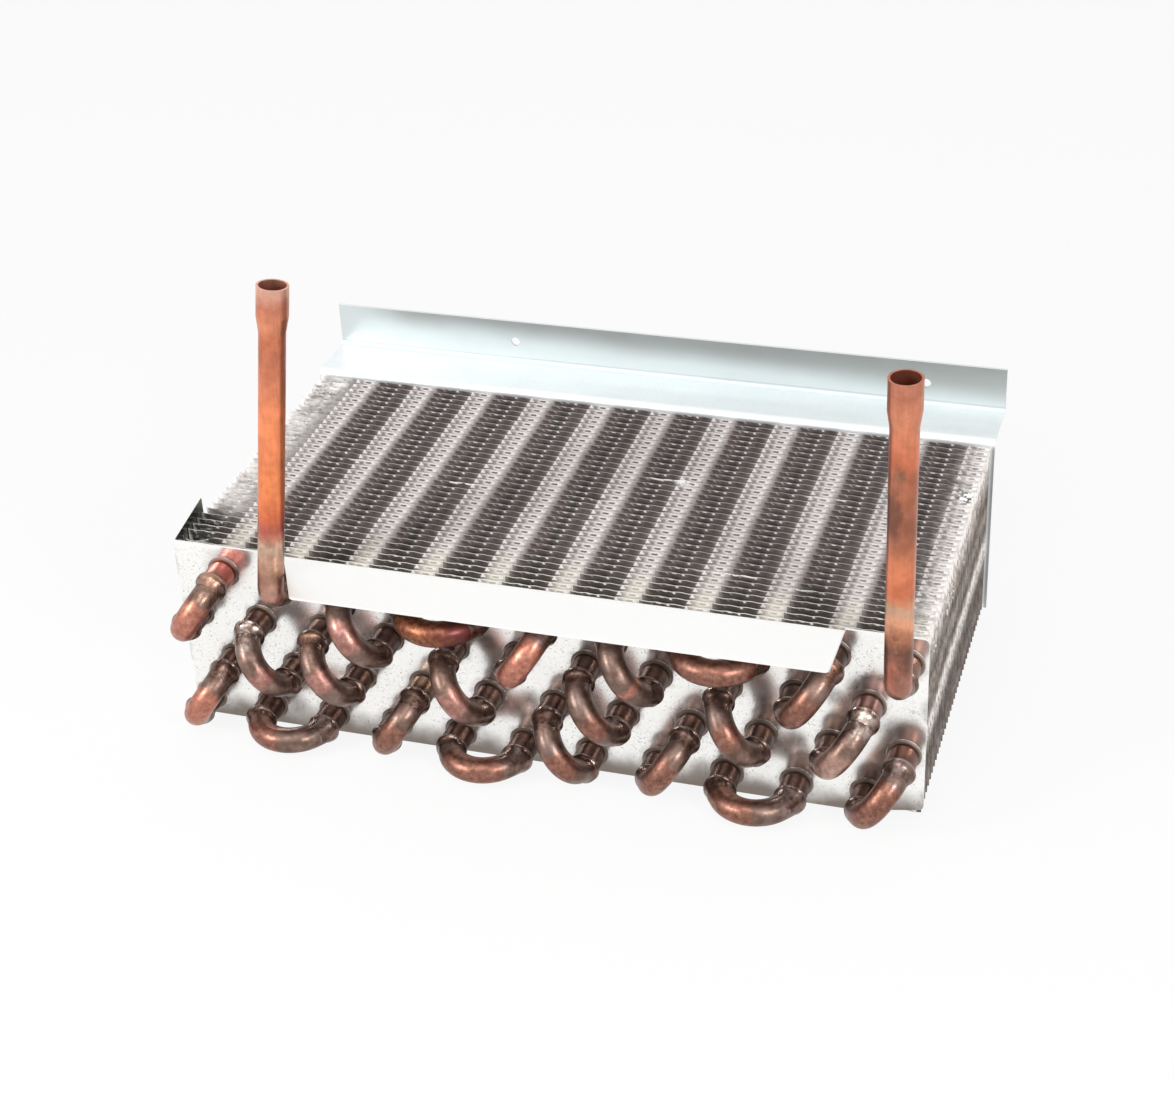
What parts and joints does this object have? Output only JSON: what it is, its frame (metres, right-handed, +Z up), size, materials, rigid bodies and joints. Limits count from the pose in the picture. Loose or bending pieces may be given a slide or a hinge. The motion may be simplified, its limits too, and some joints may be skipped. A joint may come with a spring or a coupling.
{
  "type": "finned condenser coil",
  "caption": "Fin-and-tube condenser coil: a copper tube runs back and forth through thin fins between folded end plates and ends in upright stubs.",
  "frame": {"origin": "middle of the coil's overall width and depth, at the height of the end plates' bottom edges, on which the coil stands", "axes": "+X across the coil to the right, seen from the side of the return bends; +Y along the tubes to the rear end plate; +Z up, towards the stubs' sockets"},
  "size_m": [0.2814, 0.193, 0.1875],
  "materials": {
    "galvanised_steel": "dull zinc-coated sheet with faint specks and grey stains",
    "aluminium_fins": "thin rippled aluminium sheet, satin",
    "bright_copper": "copper, bright orange with heat stains and dark marks",
    "hairpin_copper": "copper, dulled by handling and brazing",
    "oxidised_copper": "copper, dark brown oxide with pink and salmon patches"
  },
  "bodies": {
    "root": {"front_end_plate": "galvanised_steel", "rear_end_plate": "galvanised_steel", "fin_pack": "aluminium_fins", "inlet_stub": "bright_copper", "outlet_stub": "bright_copper", "hairpin_01": "hairpin_copper", "hairpin_02": "hairpin_copper", "hairpin_03": "hairpin_copper", "hairpin_04": "hairpin_copper", "hairpin_05": "hairpin_copper", "hairpin_06": "hairpin_copper", "hairpin_07": "hairpin_copper", "hairpin_08": "hairpin_copper", "hairpin_09": "hairpin_copper", "hairpin_10": "hairpin_copper", "hairpin_11": "hairpin_copper", "hairpin_12": "hairpin_copper", "hairpin_13": "hairpin_copper", "hairpin_14": "hairpin_copper", "hairpin_15": "hairpin_copper", "hairpin_16": "hairpin_copper", "hairpin_17": "hairpin_copper", "hairpin_18": "hairpin_copper", "hairpin_19": "hairpin_copper", "hairpin_20": "hairpin_copper", "hairpin_21": "hairpin_copper", "hairpin_22": "hairpin_copper", "return_bend_01": "oxidised_copper", "return_bend_02": "oxidised_copper", "return_bend_03": "oxidised_copper", "return_bend_04": "oxidised_copper", "return_bend_05": "oxidised_copper", "return_bend_06": "oxidised_copper", "return_bend_07": "oxidised_copper", "return_bend_08": "oxidised_copper", "return_bend_09": "oxidised_copper", "return_bend_10": "oxidised_copper", "return_bend_11": "oxidised_copper", "return_bend_12": "oxidised_copper", "return_bend_13": "oxidised_copper", "return_bend_14": "oxidised_copper", "return_bend_15": "oxidised_copper", "return_bend_16": "oxidised_copper", "return_bend_17": "oxidised_copper", "return_bend_18": "oxidised_copper", "return_bend_19": "oxidised_copper", "return_bend_20": "oxidised_copper", "return_bend_21": "oxidised_copper"}
  },
  "joints": []
}
